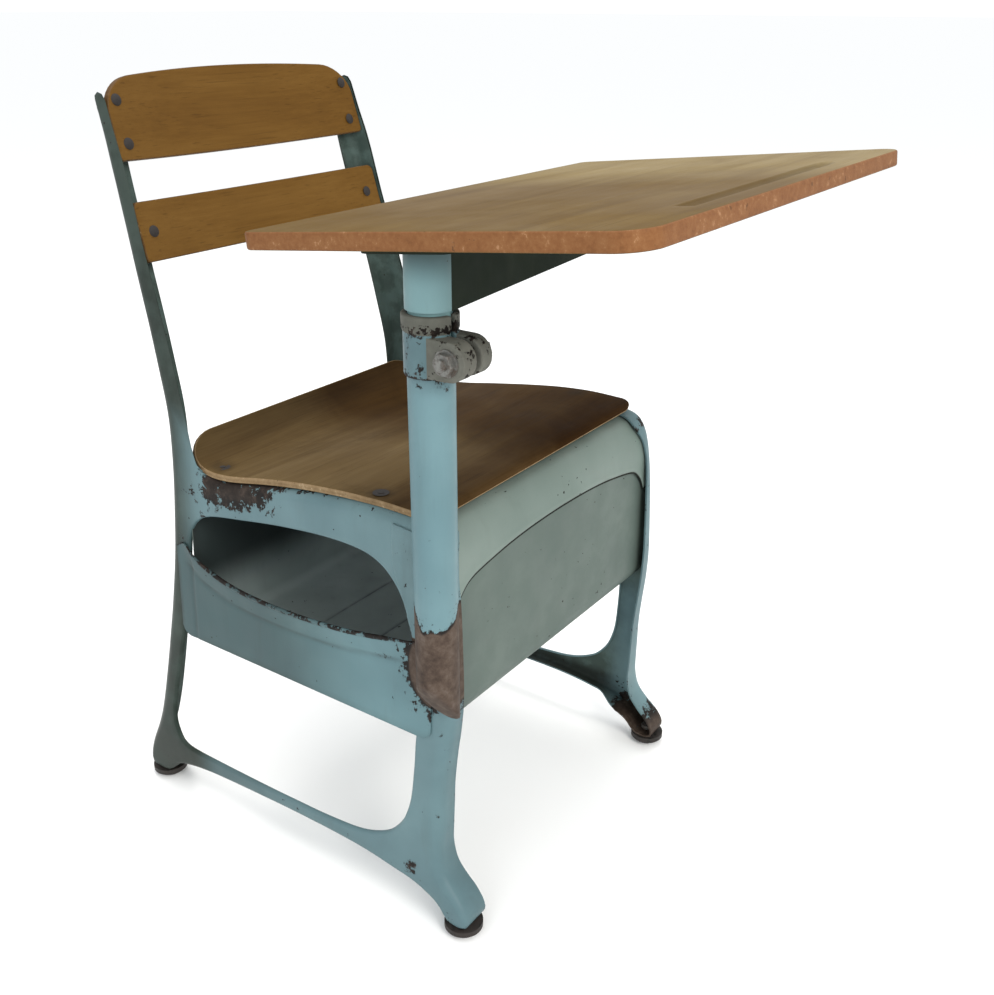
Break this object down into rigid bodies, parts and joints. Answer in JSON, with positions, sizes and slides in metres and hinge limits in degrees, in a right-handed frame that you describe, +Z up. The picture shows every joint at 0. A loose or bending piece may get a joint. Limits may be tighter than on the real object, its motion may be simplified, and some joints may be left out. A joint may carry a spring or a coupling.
{
  "type": "school chair desk",
  "caption": "One-piece school chair desk: pressed steel side frames, plywood seat and back slats, book box under the seat, sloping writing top on a clamped side post.",
  "frame": {"origin": "centre of the overall bounding box, on the floor under the glides", "axes": "+Z up, +X to the sitter's left (the side away from the post), +Y towards the back rest"},
  "size_m": [0.525, 0.6569, 0.7901],
  "materials": {
    "frame_paint": "worn light blue-grey enamel",
    "box_paint": "worn blue-grey enamel",
    "post_paint": "worn light blue-grey enamel",
    "clamp_paint": "worn grey-blue enamel on cast metal",
    "seat_ply": "worn varnished plywood",
    "slat_ply": "golden varnished plywood",
    "desk_ply": "worn varnished plywood",
    "fastener_steel": "dull zinc",
    "glide_steel": "dark worn steel"
  },
  "bodies": {
    "chair": {"left_side_frame": "frame_paint", "right_side_frame": "frame_paint", "left_box_side": "box_paint", "right_box_side": "box_paint", "book_box_pan": "box_paint", "front_apron": "box_paint", "rear_seat_rail": "box_paint", "seat": "seat_ply", "seat_bolts": "fastener_steel", "seat_nuts": "fastener_steel", "upper_back_slat": "slat_ply", "lower_back_slat": "slat_ply", "back_slat_bolts": "fastener_steel", "back_slat_nuts": "fastener_steel", "floor_glides": "glide_steel", "glide_nuts": "fastener_steel", "lower_post": "post_paint", "post_end_cap": "post_paint", "post_mounting_plate": "frame_paint", "post_saddle": "frame_paint", "post_clamp": "clamp_paint", "clamp_bolt": "fastener_steel", "clamp_nut": "fastener_steel", "clamp_washers": "fastener_steel"},
    "post_slider": {"upper_post": "post_paint"},
    "desk": {"arm_sleeve": "post_paint", "desk_arm": "post_paint", "desk_mounting_plate": "post_paint", "desk_top": "desk_ply", "desk_screws": "fastener_steel"}
  },
  "joints": [
    {"name": "post_height", "type": "slide", "parent": "chair", "child": "post_slider", "axis": [0, 0, 1], "range_m": [0, 0.1]},
    {"name": "desk_swivel", "type": "hinge", "parent": "post_slider", "child": "desk", "pos_m": [-0.222, -0.12714, 0.66], "axis": [0, 0, 1], "range_deg": [-90, 25]}
  ]
}
